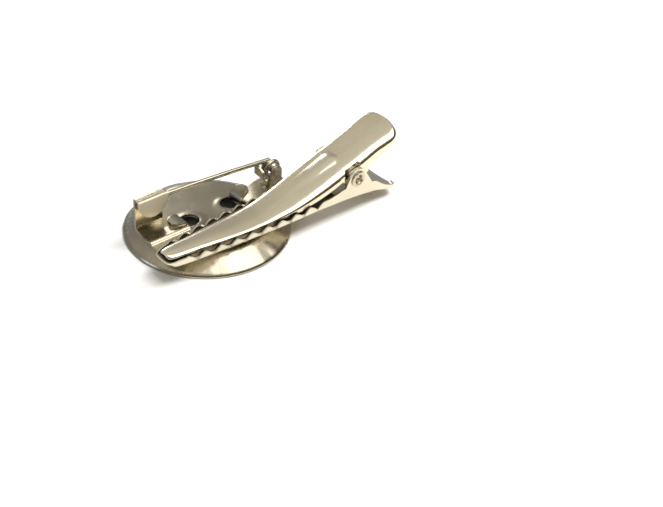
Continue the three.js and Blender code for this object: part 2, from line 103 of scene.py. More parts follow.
def curve_through(keys, column):
    """A cubic through the keys that never overshoots; keys run from the nose back."""
    xs = [key[0] for key in keys]
    ys = [key[column] for key in keys]
    slopes = [(ys[i + 1] - ys[i]) / (xs[i + 1] - xs[i]) for i in range(len(xs) - 1)]
    tangents = []
    for i in range(len(xs)):
        before = slopes[max(i - 1, 0)]
        after = slopes[min(i, len(slopes) - 1)]
        tangents.append(0.0 if before * after <= 0 else 2 * before * after / (before + after))

    def value(x):
        i = 0
        while i < len(xs) - 2 and x < xs[i + 1]:
            i += 1
        h = xs[i + 1] - xs[i]
        t = min(max((x - xs[i]) / h, 0.0), 1.0)
        return ((2 * t**3 - 3 * t**2 + 1) * ys[i] + (t**3 - 2 * t**2 + t) * h * tangents[i]
                + (3 * t**2 - 2 * t**3) * ys[i + 1] + (t**3 - t**2) * h * tangents[i + 1])

    return value


def catmull(points, per_span):
    """Points along a smooth curve through the given points."""
    pts = [Vector(p) for p in points]
    pts = [2 * pts[0] - pts[1]] + pts + [2 * pts[-1] - pts[-2]]
    out = []
    for i in range(1, len(pts) - 2):
        a, b, c, d = pts[i - 1], pts[i], pts[i + 1], pts[i + 2]
        for k in range(per_span):
            t = k / per_span
            out.append(0.5 * (2 * b + (c - a) * t + (2 * a - 5 * b + 4 * c - d) * t**2
                              + (3 * b - a - 3 * c + d) * t**3))
    out.append(pts[-2])
    return out


def rounded_path(points, radius, steps=6):
    """A polyline whose inner corners are arcs of about the given radius."""
    pts = [Vector(p) for p in points]
    out = [pts[0]]
    for before, corner, after in zip(pts, pts[1:], pts[2:]):
        into = (before - corner)
        away = (after - corner)
        reach = min(radius, into.length * 0.48, away.length * 0.48)
        start = corner + into.normalized() * reach
        end = corner + away.normalized() * reach
        for k in range(steps + 1):
            t = k / steps
            out.append(start.lerp(corner, t).lerp(corner.lerp(end, t), t))
    out.append(pts[-1])
    return out


def resample(points, step):
    """Points an even step apart along a polyline, keeping its two ends."""
    pts = [Vector(p) for p in points]
    lengths = [0.0]
    for a, b in zip(pts, pts[1:]):
        lengths.append(lengths[-1] + (b - a).length)
    total = lengths[-1]
    count = max(2, round(total / step))
    out = []
    i = 0
    for k in range(count + 1):
        want = total * k / count
        while i < len(pts) - 2 and lengths[i + 1] < want:
            i += 1
        span = lengths[i + 1] - lengths[i] or 1.0
        out.append(pts[i].lerp(pts[i + 1], min(max((want - lengths[i]) / span, 0.0), 1.0)))
    return out


# ---- meshes ----
def mesh_object(name, verts, faces):
    mesh = bpy.data.meshes.new(name)
    mesh.from_pydata([tuple(v) for v in verts], [], faces)
    mesh.validate()
    obj = bpy.data.objects.new(name, mesh)
    bpy.context.scene.collection.objects.link(obj)
    return obj


def grid_object(name, rows, close_columns=False):
    """A quad surface over a grid of points."""
    n, m = len(rows), len(rows[0])
    verts = [p for row in rows for p in row]
    faces = []
    for i in range(n - 1):
        for j in range(m if close_columns else m - 1):
            k, l = (i + 1) % n, (j + 1) % m
            faces.append((i * m + j, k * m + j, k * m + l, i * m + l))
    return mesh_object(name, verts, faces)


def edit(obj, work):
    """Runs a bmesh edit on an object's mesh."""
    bm = bmesh.new()
    bm.from_mesh(obj.data)
    work(bm)
    bm.to_mesh(obj.data)
    bm.free()
    return obj


def outward(obj):
    return edit(obj, lambda bm: bmesh.ops.recalc_face_normals(bm, faces=bm.faces))


def modify(obj, kind, **settings):
    """Adds one modifier and applies it."""
    modifier = obj.modifiers.new(kind.lower(), kind)
    for key, value in settings.items():
        setattr(modifier, key, value)
    graph = bpy.context.evaluated_depsgraph_get()
    mesh = bpy.data.meshes.new_from_object(obj.evaluated_get(graph))
    obj.modifiers.clear()
    old = obj.data
    obj.data = mesh
    bpy.data.meshes.remove(old)
    return obj


def combine(obj, other, operation):
    """A boolean of two closed meshes; the second is used up."""
    modify(obj, "BOOLEAN", operation=operation, object=other, solver="EXACT")
    bpy.data.objects.remove(other, do_unlink=True)
    return obj


def bevel(obj, width, segments=2, angle=40):
    return modify(obj, "BEVEL", width=width, segments=segments, limit_method="ANGLE",
                  angle_limit=math.radians(angle), harden_normals=False, use_clamp_overlap=True)


def clean(obj, distance=0.004):
    def work(bm):
        bmesh.ops.remove_doubles(bm, verts=bm.verts, dist=distance)
        bmesh.ops.dissolve_degenerate(bm, dist=distance / 2, edges=bm.edges)
        bmesh.ops.recalc_face_normals(bm, faces=bm.faces)
    return edit(obj, work)


def prism(name, outline, low, high, to_point):
    """A closed solid from an outline, between two heights; to_point(u, v, h) gives each corner."""
    n = len(outline)
    verts = [to_point(u, v, low) for u, v in outline] + [to_point(u, v, high) for u, v in outline]
    faces = [tuple(range(n)), tuple(range(2 * n - 1, n - 1, -1))]
    faces += [(i, i + n, (i + 1) % n + n, (i + 1) % n) for i in range(n)]
    return outward(mesh_object(name, verts, faces))


def arc(u, v, radius, start, end, steps):
    return [(u + radius * math.cos(lerp(start, end, k / steps)),
             v + radius * math.sin(lerp(start, end, k / steps)))
            for k in range(steps + 1)]


def lathe(name, profile, centre, axis, segments=64):
    """A turned solid about an axis through centre; profile is (radius, height), from radius 0 to 0."""
    turn = Vector((0, 0, 1)).rotation_difference(Vector(axis))
    verts = []
    rings = []
    for radius, height in profile:
        if radius < 1e-6:
            rings.append([len(verts)])
            verts.append(centre + turn @ Vector((0, 0, height)))
            continue
        ring = []
        for k in range(segments):
            a = 2 * math.pi * k / segments
            ring.append(len(verts))
            verts.append(centre + turn @ Vector((radius * math.cos(a), radius * math.sin(a), height)))
        rings.append(ring)
    faces = []
    for a, b in zip(rings, rings[1:]):
        for k in range(segments):
            n = (k + 1) % segments
            corners = [a[k % len(a)], a[n % len(a)], b[n % len(b)], b[k % len(b)]]
            unique = list(dict.fromkeys(corners))
            if len(unique) > 2:
                faces.append(tuple(unique))
    return outward(mesh_object(name, verts, faces))


def tube(name, points, radii, sides=16):
    """A round wire along points, with a radius at each point and closed ends."""
    pts = [Vector(p) for p in points]
    tangents = [(pts[min(i + 1, len(pts) - 1)] - pts[max(i - 1, 0)]).normalized() for i in range(len(pts))]
    normal = tangents[0].orthogonal().normalized()
    verts, faces = [], []
    for i, (p, t, r) in enumerate(zip(pts, tangents, radii)):
        normal = (normal - t * normal.dot(t)).normalized()
        side = t.cross(normal)
        for k in range(sides):
            a = 2 * math.pi * k / sides
            verts.append(p + (normal * math.cos(a) + side * math.sin(a)) * r)
    for i in range(len(pts) - 1):
        for k in range(sides):
            n = (k + 1) % sides
            faces.append((i * sides + k, i * sides + n, (i + 1) * sides + n, (i + 1) * sides + k))
    faces.append(tuple(range(sides - 1, -1, -1)))
    last = (len(pts) - 1) * sides
    faces.append(tuple(range(last, last + sides)))
    return outward(mesh_object(name, verts, faces))


def coil_points(centre, radius, from_angle, to_angle, from_y, to_y, per_turn=32):
    count = max(2, round(abs(to_angle - from_angle) / (2 * math.pi) * per_turn))
    out = []
    for k in range(count + 1):
        a = lerp(from_angle, to_angle, k / count)
        y = lerp(from_y, to_y, k / count)
        out.append(Vector((centre.x + radius * math.cos(a), y, centre.z + radius * math.sin(a))))
    return out


def tangent_angle(centre, radius, to_x, to_z, side):
    reach = math.hypot(to_x - centre.x, to_z - centre.z)
    return math.atan2(to_z - centre.z, to_x - centre.x) + side * math.acos(radius / reach)


def strip(name, path, across, widths, thickness, columns=8, normal_sign=1):
    """A strip of sheet along a path: across is its cross direction, widths its (low, high) at each point."""
    pts = [Vector(p) for p in path]
    across = Vector(across).normalized()
    top, bottom = [], []
    for i, p in enumerate(pts):
        t = (pts[min(i + 1, len(pts) - 1)] - pts[max(i - 1, 0)]).normalized()
        n = t.cross(across).normalized() * normal_sign
        low, high = widths[i]
        row = [p + across * lerp(low, high, k / columns) for k in range(columns + 1)]
        top.append([q + n * thickness / 2 for q in row])
        bottom.append([q - n * thickness / 2 for q in row])
    loops = [t_row + b_row[::-1] for t_row, b_row in zip(top, bottom)]
    obj = grid_object(name, loops, close_columns=True)
    size = len(loops[0])
    last = (len(loops) - 1) * size

    def caps(bm):
        bm.verts.ensure_lookup_table()
        for base in (0, last):
            for k in range(columns):
                a, b = base + k, base + k + 1
                c, d = base + size - 2 - k, base + size - 1 - k
                bm.faces.new([bm.verts[q] for q in (a, b, c, d)])
    edit(obj, caps)
    return outward(obj)


def mark_faces(obj, test):
    """Gives the faces that pass a test of their middle and direction the piece's second material."""
    obj.data.materials.append(None)
    obj.data.materials.append(None)
    for face in obj.data.polygons:
        face.material_index = 1 if test(Vector(face.center), Vector(face.normal)) else 0


def faces_inward(keys):
    """A test for the faces that look into a jaw, forward of the hinge."""
    edge = curve_through(keys, 3)

    def test(place, normal):
        out = Vector((0, place.y - CLIP_Y, place.z - edge(place.x))).normalized()
        return out.dot(normal) < -0.35 and place.x > PIVOT.x + 3.0
    return test


def finish_piece(obj, body, material, nodes, sharp=38, second=None):
    """Scales a piece to metres, marks its sharp edges, and hangs it on its body, if it has only one."""
    obj.data.transform(Matrix.Scale(MM, 4))

    def mark(bm):
        for face in bm.faces:
            face.smooth = True
        for edge in bm.edges:
            edge.smooth = len(edge.link_faces) == 2 and edge.calc_face_angle(0) < math.radians(sharp)
    edit(obj, mark)
    if second:
        obj.data.materials[0] = material
        obj.data.materials[1] = second
    else:
        obj.data.materials.clear()
        obj.data.materials.append(material)
    if body:
        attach(obj, body)
    if nodes:
        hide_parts(*nodes)
    return obj


# ---- materials ----
class Nodes:
    """Short ways to add and join shader nodes."""

    def __init__(self, name):
        self.material = bpy.data.materials.new(name)
        self.material.use_nodes = True
        self.tree = self.material.node_tree
        self.shader = self.tree.nodes["Principled BSDF"]
        self.place = self.add("ShaderNodeTexCoord").outputs["Object"]

    def add(self, kind, **settings):
        node = self.tree.nodes.new(kind)
        for key, value in settings.items():
            setattr(node, key, value)
        return node

    def join(self, source, target):
        self.tree.links.new(source, target)

    def mapped(self, scale, rotation=(0, 0, 0), source=None):
        node = self.add("ShaderNodeMapping")
        node.inputs["Scale"].default_value = scale
        node.inputs["Rotation"].default_value = rotation
        self.join(source or self.place, node.inputs["Vector"])
        return node.outputs["Vector"]

    def noise(self, vector, scale, detail=4.0, roughness=0.55, distortion=0.0):
        node = self.add("ShaderNodeTexNoise")
        node.inputs["Scale"].default_value = scale
        node.inputs["Detail"].default_value = detail
        node.inputs["Roughness"].default_value = roughness
        node.inputs["Distortion"].default_value = distortion
        self.join(vector, node.inputs["Vector"])
        return node.outputs["Fac"]

    def ramp(self, source, stops):
        node = self.add("ShaderNodeValToRGB")
        ramp = node.color_ramp
        while len(ramp.elements) < len(stops):
            ramp.elements.new(0.5)
        for element, (position, colour) in zip(ramp.elements, stops):
            element.position = position
            element.color = colour if len(colour) == 4 else (*colour, 1.0)
        self.join(source, node.inputs["Fac"])
        return node.outputs["Color"]

    def remap(self, source, low, high, from_low=0.3, from_high=0.7):
        node = self.add("ShaderNodeMapRange")
        node.inputs["From Min"].default_value = from_low
        node.inputs["From Max"].default_value = from_high
        node.inputs["To Min"].default_value = low
        node.inputs["To Max"].default_value = high
        self.join(source, node.inputs["Value"])
        return node.outputs["Result"]

    def maths(self, operation, a, b=None):
        node = self.add("ShaderNodeMath", operation=operation)
        for socket, value in zip(node.inputs, (a, b)):
            if value is None:
                continue
            if isinstance(value, (int, float)):
                socket.default_value = value
            else:
                self.join(value, socket)
        return node.outputs["Value"]

    def mix(self, factor, a, b, blend="MIX"):
        node = self.add("ShaderNodeMix", data_type="RGBA", blend_type=blend)
        for socket, value in ((node.inputs["Factor"], factor), (node.inputs["A"], a), (node.inputs["B"], b)):
            if isinstance(value, (int, float)):
                socket.default_value = value
            elif isinstance(value, tuple):
                socket.default_value = (*value, 1.0)
            else:
                self.join(value, socket)
        return node.outputs["Result"]

    def bump(self, height, strength, distance, normal=None):
        node = self.add("ShaderNodeBump")
        node.inputs["Strength"].default_value = strength
        node.inputs["Distance"].default_value = distance
        self.join(height, node.inputs["Height"])
        if normal is not None:
            self.join(normal, node.inputs["Normal"])
        return node.outputs["Normal"]


def plated(name, colour, roughness, grain, grain_strength, speckle=0.0, radial=False):
    """Champagne plating: cloudy colour, drawn or radial polishing lines, fine speckle and worn patches."""
    n = Nodes(name)
    if radial:
        split = n.add("ShaderNodeSeparateXYZ")
        n.join(n.place, split.inputs["Vector"])
        angle = n.maths("ARCTAN2", split.outputs["Y"], split.outputs["X"])
        square = n.maths("ADD", n.maths("MULTIPLY", split.outputs["X"], split.outputs["X"]),
                         n.maths("MULTIPLY", split.outputs["Y"], split.outputs["Y"]))
        reach = n.maths("SQRT", square)
        joined = n.add("ShaderNodeCombineXYZ")
        n.join(n.maths("MULTIPLY", angle, 0.02), joined.inputs["X"])
        n.join(n.maths("MULTIPLY", reach, 0.35), joined.inputs["Y"])
        n.join(n.maths("MULTIPLY", split.outputs["Z"], 0.35), joined.inputs["Z"])
        wall = n.remap(reach, 0.0, 1.0, (FLOOR_RADIUS - 1.0) * MM, (FLOOR_RADIUS + 0.4) * MM)
        lines = n.noise(joined.outputs["Vector"], 900.0, 6.0, 0.7)
        lines = n.maths("ADD", 0.5, n.maths("MULTIPLY", wall, n.maths("SUBTRACT", lines, 0.5)))
        colour = n.mix(wall, tuple(c * 0.58 for c in colour), tuple(c * 0.7 for c in colour))
    else:
        lines = n.noise(n.mapped(grain), 1000.0, 5.0, 0.65)
    clouds = n.noise(n.place, 260.0, 4.0, 0.6, 0.4)
    fine = n.noise(n.place, 5200.0, 3.0, 0.7)
    tint = n.mix(n.remap(clouds, 0.0, 0.3), colour, n.mix(1.0, colour, (0.93, 0.88, 0.78), "MULTIPLY"))
    tint = n.mix(n.remap(lines, 0.0, 0.22, 0.45, 0.8), tint, n.mix(1.0, tint, (0.72, 0.72, 0.72), "MULTIPLY"))
    n.join(tint, n.shader.inputs["Base Color"])
    n.shader.inputs["Metallic"].default_value = 1.0
    rough = n.maths("ADD", n.remap(clouds, roughness * 0.85, roughness * 1.2),
                    n.remap(lines, -0.03, 0.06, 0.35, 0.75))
    if speckle:
        rough = n.maths("ADD", rough, n.remap(fine, 0.0, speckle * 0.4))
    n.join(n.maths("MAXIMUM", rough, 0.05), n.shader.inputs["Roughness"])
    normal = n.bump(lines, grain_strength, 0.00002)
    normal = n.bump(clouds, 0.05, 0.00012, normal)
    if speckle:
        normal = n.bump(fine, speckle, 0.00004, normal)
    n.join(normal, n.shader.inputs["Normal"])
    return n.material


CHAMPAGNE = (0.75, 0.685, 0.53)
TRAY_STEEL = plated("tray_plating", CHAMPAGNE, 0.24, (1, 1, 1), 0.8, radial=True)
BAR_STEEL = plated("bar_plating", (0.64, 0.575, 0.43), 0.22, (0.25, 2.2, 2.2), 0.25, speckle=0.16)
FLAP_STEEL = plated("flap_plating", (0.9, 0.86, 0.76), 0.36, (1.2, 1.2, 1.2), 0.3, speckle=0.5)
JAW_STEEL = plated("jaw_plating", (0.89, 0.825, 0.66), 0.17, (0.1, 2.4, 2.4), 0.16)
LOWER_STEEL = plated("lower_jaw_plating", (0.84, 0.785, 0.65), 0.34, (0.15, 2.0, 2.0), 0.2)
# Near-black colour for the faces that look into the jaws: painted shade in the jaws' hollow; the higher
# roughness is a duller plating
JAW_INSIDE_SHADE = plated("jaw_inside_painted_shade", (0.16, 0.135, 0.095), 0.45, (0.3, 2.0, 2.0), 0.3)
PIN_STEEL = plated("pin_plating", (0.62, 0.57, 0.46), 0.24, (0.2, 2.5, 2.5), 0.2)
RIVET_STEEL = plated("rivet_plating", (0.7, 0.64, 0.52), 0.25, (1.5, 1.5, 1.5), 0.3, speckle=0.25)
SPRING_STEEL = plated("spring_plating", (0.62, 0.58, 0.5), 0.24, (2, 2, 2), 0.2)


# ---- tray ----
def tray_profile():
    """Radius and height of the gluing side and the back, from the middle out to the rim and back."""
    slope = math.atan2(TRAY_DEPTH, RIM_RADIUS - FLOOR_RADIUS)
    bend = 1.5
    front = [(FLOOR_RADIUS * 0.93 * k / 22, 0.0) for k in range(23)]
    tangent = bend * math.tan(slope / 2)
    for k in range(9):
        a = slope * k / 8
        front.append((FLOOR_RADIUS + 0.15 - tangent + bend * math.sin(a), -bend * (1 - math.cos(a))))
    end_r, end_z = RIM_RADIUS - 0.22, -TRAY_DEPTH + 0.05
    start_r, start_z = front[-1]
    for t in (0.2, 0.4, 0.6, 0.8, 0.93, 1.0):
        front.append((lerp(start_r, end_r, t), lerp(start_z, end_z, t) - 0.10 * math.sin(math.pi * t)))
    lip = [(RIM_RADIUS - 0.12, -TRAY_DEPTH), (RIM_RADIUS - 0.02, -TRAY_DEPTH + 0.06),
           (RIM_RADIUS, -TRAY_DEPTH + 0.2), (RIM_RADIUS - 0.06, -TRAY_DEPTH + 0.32)]
    back = []
    for r, z in front[::-1][1:]:
        lean = smooth((r - (FLOOR_RADIUS - 1.2)) / 2.4)
        back.append((r + 0.16 * lean, z + SHEET - 0.04 * lean))
    return front, lip, back


def make_tray():
    front, lip, back = tray_profile()
    obj = lathe("tray_shell", [*front, *lip, *back], Vector((0, 0, 0)), (0, 0, 1), 176)
    for hole_x, turn in HOLES.values():
        half = HOLE_WIDTH / 2
        hinge = hole_x + turn * HOLE_LENGTH / 2
        centre = hinge - turn * (HOLE_LENGTH - half)
        start = math.pi / 2
        outline = [(hinge, HOLE_Y + half)]
        outline += arc(centre, HOLE_Y, half, start, start + turn * math.pi, 24)
        outline += [(hinge, HOLE_Y - half)]
        cutter = prism("hole_cutter", outline, -1.0, 1.2, lambda u, v, h: Vector((u, v, h)))
        combine(obj, cutter, "DIFFERENCE")
        combine(obj, make_tongue(hinge, turn), "UNION")

    def wobble(bm):
        for vert in bm.verts:
            reach = math.hypot(vert.co.x, vert.co.y)
            share = smooth((reach - FLOOR_RADIUS) / (RIM_RADIUS - FLOOR_RADIUS))
            around = Vector((vert.co.x, vert.co.y, 0)) / reach if reach > 1e-6 else Vector((0, 0, 0))
            dent = noise.noise(around * 5.5 + Vector((3.1, 0.4, 7.7)))
            ripple = noise.noise(around * 26.0)
            vert.co.z += share * (0.10 * dent + 0.035 * ripple * share)
            vert.co.x += around.x * share * 0.06 * dent
            vert.co.y += around.y * share * 0.06 * dent
            if reach < FLOOR_RADIUS and vert.co.z < 0.6:
                vert.co.z += 0.02 * noise.noise(vert.co * 0.35)
            for hole_x, _ in HOLES.values():
                away = math.hypot(vert.co.x - hole_x, vert.co.y - HOLE_Y)
                if vert.co.z < 0.6 and away < 3.0:
                    vert.co.z += 0.1 * math.exp(-((away - 1.7) / 0.6) ** 2)
    edit(obj, wobble)
    clean(obj)
    bevel(obj, 0.05, 2, 50)
    obj.name = "tray_shell"
    return finish_piece(obj, "base", TRAY_STEEL, ["tray"])


def make_tongue(hinge, turn):
    """A tongue lanced out of the tray: up through the hole's edge, then leaning out over the bar's arm."""
    low = BAR_LOW + SHEET + GAP + SHEET / 2
    side = turn * SHEET / 2
    lean, reach = (1.55, 2.8) if turn > 0 else (2.4, 2.3)
    route = [(hinge + side, HOLE_Y, 0.12), (hinge + side, HOLE_Y, low),
             (hinge + turn * reach * 0.5, HOLE_Y, lean - 0.3 * (turn < 0)),
             (hinge + turn * reach, HOLE_Y, lean)]
    path = resample(rounded_path(route, 0.8, 8), 0.14)
    widths = []
    total = len(path) - 1
    for k in range(len(path)):
        t = k / total
        half = lerp(1.55, 1.4, t)
        if t > 0.58:
            half *= math.sqrt(max(1 - ((t - 0.58) / 0.42) ** 2, 0.0)) * 0.78 + 0.22
        widths.append((-half, half))
    return strip("tongue", path, (0, 1, 0), widths, SHEET, 10)


# ---- brooch bar ----
def make_bar():
    nose_hinge = HOLES["nose"][0] + HOLE_LENGTH / 2 + SHEET + 0.2
    tail_hinge = HOLES["tail"][0] - HOLE_LENGTH / 2 - SHEET - 0.2
    low_y, high_y = JOINT.y - JOINT_INNER / 2 - SHEET, JOINT.y + JOINT_INNER / 2 + SHEET
    outline = [(11.9, 3.4), (12.2, 5.9), (11.6, 8.2), (6, 8.6), (-12.5, 9.8), (-12.5, 5.0), (-12.9, high_y),
               (-15.9, high_y), (-16.3, high_y - 0.5), (-16.3, low_y + 0.5), (-15.9, low_y), (-11.9, low_y),
               (-9.6, -2.0), (tail_hinge, -1.9), (tail_hinge, 3.2), (nose_hinge, 3.2)]
    obj = prism("brooch_bar_sheet", outline, BAR_LOW, BAR_LOW + SHEET, lambda u, v, h: Vector((u, v, h)))
    bevel(obj, 0.08, 2, 30)
    combine(obj, make_catch(nose_hinge), "UNION")
    for y, nose, top, radius in ((low_y, -11.7, 4.75, 1.85), (high_y - SHEET, -13.1, 2.6, 1.15)):
        combine(obj, make_cheek(y, nose, top, radius), "UNION")
    combine(obj, make_joint_lip(low_y), "UNION")
    clean(obj)
    obj.name = "brooch_bar_sheet"
    flap_y = CATCH_Y + CATCH_GAP
    mark_faces(obj, lambda place, normal: place.y > flap_y and place.z > CATCH_TOP - CATCH_FLAP - 0.2
               and CATCH_TAIL - 0.3 < place.x < CATCH_NOSE + 0.3 and normal.z < 0.6)
    return finish_piece(obj, "base", BAR_STEEL, ["brooch_bar"], second=FLAP_STEEL)


def make_catch(nose_hinge):
    """The catch: a troughed arm, a sharp fold up into the back plate, a rolled roof and a half-round flap."""
    back = CATCH_Y + SHEET / 2
    flap = back + CATCH_GAP + SHEET
    roof = CATCH_TOP - SHEET / 2
    foot = BAR_MID + 0.42
    trough = [(0, 4.6, BAR_MID), (0, 2.7, BAR_MID + 0.02), (0, 2.1, BAR_MID + 0.1), (0, 1.7, BAR_MID + 0.42),
              (0, 1.2, BAR_MID + 0.36), (0, -0.6, BAR_MID + 0.04), (0, -2.1, BAR_MID + 0.16), (0, back, foot)]
    arm = resample(catmull(trough, 8), 0.12)
    wall = resample(rounded_path([(0, back, foot), (0, back, roof), (0, flap, roof)], 0.3, 6), 0.12)[1:]
    hang_corners = [(0, flap - 0.3, roof), (0, flap, roof), (0, flap, CATCH_TOP - CATCH_FLAP)]
    hang = resample(rounded_path(hang_corners, 0.3, 6),
                    0.1)
    middle = (CATCH_NOSE + CATCH_TAIL) / 2
    half = (CATCH_NOSE - CATCH_TAIL) / 2
    widths = []
    for p in arm:
        spread = smooth((p.y + 3.0) / 4.5)
        widths.append((lerp(-half, nose_hinge - middle, spread), lerp(half, 12.15 - middle, spread)))
    wall = [p for p in wall if p.y < flap - 0.3 or p.z < roof - 0.3]
    widths += [(-half, half)] * len(wall)
    straight = 0.5
    for p in hang:
        drop = min(max((roof - straight - p.z) / (CATCH_FLAP - straight - SHEET / 2), 0.0), 1.0)
        reach = (half + 0.15) * max(math.sqrt(1 - drop ** 2), 0.08)
        widths.append((-reach - 0.2, reach - 0.05))
    path = [Vector((middle, p.y, p.z)) for p in [*arm, *wall, *hang]]
    obj = strip("catch", path, (1, 0, 0), widths, SHEET * 0.92, 16)
    return bevel(obj, 0.05, 2, 50)


def make_cheek(y, nose, top, radius):
    outline = [(nose, BAR_LOW + 0.1), (nose, top - 0.5)]
    outline += arc(nose - 0.5, top - 0.5, 0.5, 0, math.pi / 2, 4) if top > 4 else []
    outline += arc(JOINT.x, JOINT.z, radius, math.pi * 0.36 if top > 4 else math.pi * 0.2, math.pi * 0.98, 20)
    outline += [(JOINT.x - radius, BAR_LOW + 0.1)]
    obj = prism("cheek", outline, y, y + SHEET, lambda u, v, h: Vector((u, h, v)))
    return bevel(obj, 0.1, 3, 40)


def make_joint_lip(low_y):
    """The folded tab between the cheeks that the closed pin rests on."""
    route = [(-11.95, low_y + 0.2, 2.7), (-11.95, low_y + 1.3, 2.6), (-12.0, low_y + 2.3, 2.35)]
    path = resample(catmull(route, 8), 0.15)
    widths = [(-0.2, lerp(1.8, 1.2, k / (len(path) - 1))) for k in range(len(path))]
    return strip("joint_lip", path, (0, 0, 1), widths, SHEET * 0.8, 8)


# ---- pin ----
def make_pin():
    """One wire in two pieces: the foot and half a turn rest on the bar, and the rest of the coil swings with
    the pin. A thinner stretch of the swinging coil slides inside the fixed half turn, so no gap opens between
    them. A helix that turns without moving along its axis leaves its own path, so from about 30 degrees of
    swing that stretch shows through the side of the fixed half turn."""
    y = JOINT.y
    leave = tangent_angle(JOINT, PIN_COIL, PIN_TIP.x, PIN_TIP.z, 1)
    width = PIN_TURNS * PIN_PITCH
    start = leave - 2 * math.pi * PIN_TURNS
    coil = coil_points(JOINT, PIN_COIL, start, leave, y + width / 2, y - width / 2)
    first, last = coil[0], coil[-1]
    foot = [first + Vector((reach, 0, -drop)) for reach, drop in ((1.7, 0.14), (1.1, 0.07), (0.5, 0.0))]
    route = catmull([*foot, *coil[:PIN_SPLIT + 1]], 3)
    fixed = tube("pin_wire_foot", route, [PIN_WIRE / 2] * len(route), 18)
    finish_piece(fixed, "base", PIN_STEEL, [])

    along = (PIN_TIP - last).normalized()
    end = PIN_TIP + along * (PIN_POINT - 0.1)
    stem = []
    for t in (0.04, 0.09, 0.15, 0.25, 0.4, 0.55, 0.7, 0.85, 1.0):
        stem.append(last.lerp(PIN_TIP, t) + Vector((0, 0, 0.16 * math.sin(math.pi * t))))
    point = [PIN_TIP.lerp(end, t) for t in (0.3, 0.6, 0.85, 1.0)]
    hidden = PIN_SPLIT - PIN_HIDDEN
    route = catmull([*coil[hidden:], *stem, *point], 3)
    tip_start = PIN_TIP.x - 0.6
    radii = []
    for k, p in enumerate(route):
        taper = min(max((p.x - tip_start) / (end.x - tip_start), 0.0), 1.0)
        inside = 0.86 if k < 3 * PIN_HIDDEN else 1.0
        radii.append(PIN_WIRE / 2 * inside * math.sqrt(max(1 - taper ** 1.6, 0.004)))
    obj = tube("pin_wire_steel", route, radii, 18)
    return finish_piece(obj, "pin", PIN_STEEL, ["pin_wire"])


def make_pin_rivet():
    reach = JOINT_INNER / 2 + SHEET
    head = 0.28
    profile = [(0, -reach - head), (0.45, -reach - head * 0.95), (0.7, -reach - head * 0.6),
               (0.84, -reach - 0.06), (0.8, -reach), (0.56, -reach), (0.56, reach), (0.8, reach),
               (0.84, reach + 0.06), (0.7, reach + head * 0.6), (0.45, reach + head * 0.95),
               (0.2, reach + head * 0.8), (0, reach + head * 0.7)]
    obj = lathe("pin_rivet_steel", profile, Vector(JOINT), (0, 1, 0), 40)
    return finish_piece(obj, "base", RIVET_STEEL, ["pin_rivet"])


# ---- jaws ----
def jaw_stations(nose_x, breaks):
    """x from the nose back: fine steps along the teeth, with every tooth tip and root hit exactly."""
    marks = sorted({nose_x, LEVER_END, *[b for b in breaks if LEVER_END < b < nose_x]}, reverse=True)
    out = []
    for a, b in zip(marks, marks[1:]):
        steps = max(1, math.ceil((a - b) / (0.2 if a > -17 else 0.35)))
        out += [lerp(a, b, k / steps) for k in range(steps)]
    return out + [LEVER_END]


def tooth_marks(first):
    """Tip and root positions."""
    return [first - k * TOOTH_PITCH / 2 for k in range(-1, 2 * LOWER_TEETH)]


def tooth_height(x, first, count=TOOTH_COUNT):
    """0 at the roots and 1 at the tips, which are rounded; 1 away from the toothed stretch."""
    place = (first - x) / TOOTH_PITCH
    nearest = round(place)
    if nearest < 0 or nearest > count - 1:
        return 1.0
    slope = min(abs(place - nearest) / 0.5, 1.0)
    return lerp(slope, math.sin(slope * math.pi / 2), 0.75)


def arch(half, depth, base, power, steps, start=0.0, end=math.pi):
    """A rounded arch from +half to -half as (y, z) points, or part of it; a higher power is flatter."""
    out = []
    for k in range(steps + 1):
        a = lerp(start, end, k / steps)
        c, s = math.cos(a), math.sin(a)
        out.append((half * math.copysign(abs(c) ** (2 / power), c), base + depth * abs(s) ** (2 / power)))
    return out


def jaw_surface(keys, shape, stations):
    """The outer face of a jaw: shape(x, values) gives its section's (y, z) points from +Y to -Y."""
    width, web, edge = (curve_through(keys, column) for column in (1, 2, 3))
    rows = [[Vector((x, CLIP_Y + y, z)) for y, z in shape(x, width(x), web(x), edge(x))] for x in stations]
    return rows


def solid_sheet(name, rows, thickness, side, edge_share=0.62):
    """A closed sheet: each section is offset inwards in its plane and thins to edge_share at the sheared edges.

    side is 1 for an arch and -1 for a trough.
    """
    inner = []
    for row in rows:
        offset = []
        last = len(row) - 1
        for j, p in enumerate(row):
            depth = min(j, last - j)
            if depth < 4:
                inward = Vector((0, -1 if p.y > CLIP_Y else 1, 0))
            else:
                t = row[j + 1] - row[j - 1]
                inward = Vector((0, -t.z, t.y)).normalized() * side
            offset.append(p + inward * thickness * lerp(edge_share, 1.0, smooth((depth - 4) / 6)))
        inner.append(offset)
    loops = [outer_row + inner_row[::-1] for outer_row, inner_row in zip(rows, inner)]
    obj = grid_object(name, loops, close_columns=True)
    size = len(loops[0])
    columns = len(rows[0]) - 1

    def caps(bm):
        bm.verts.ensure_lookup_table()
        for base in (0, (len(loops) - 1) * size):
            for k in range(columns):
                corners = (base + k, base + k + 1, base + size - 2 - k, base + size - 1 - k)
                bm.faces.new([bm.verts[q] for q in corners])
    edit(obj, caps)
    return outward(obj)


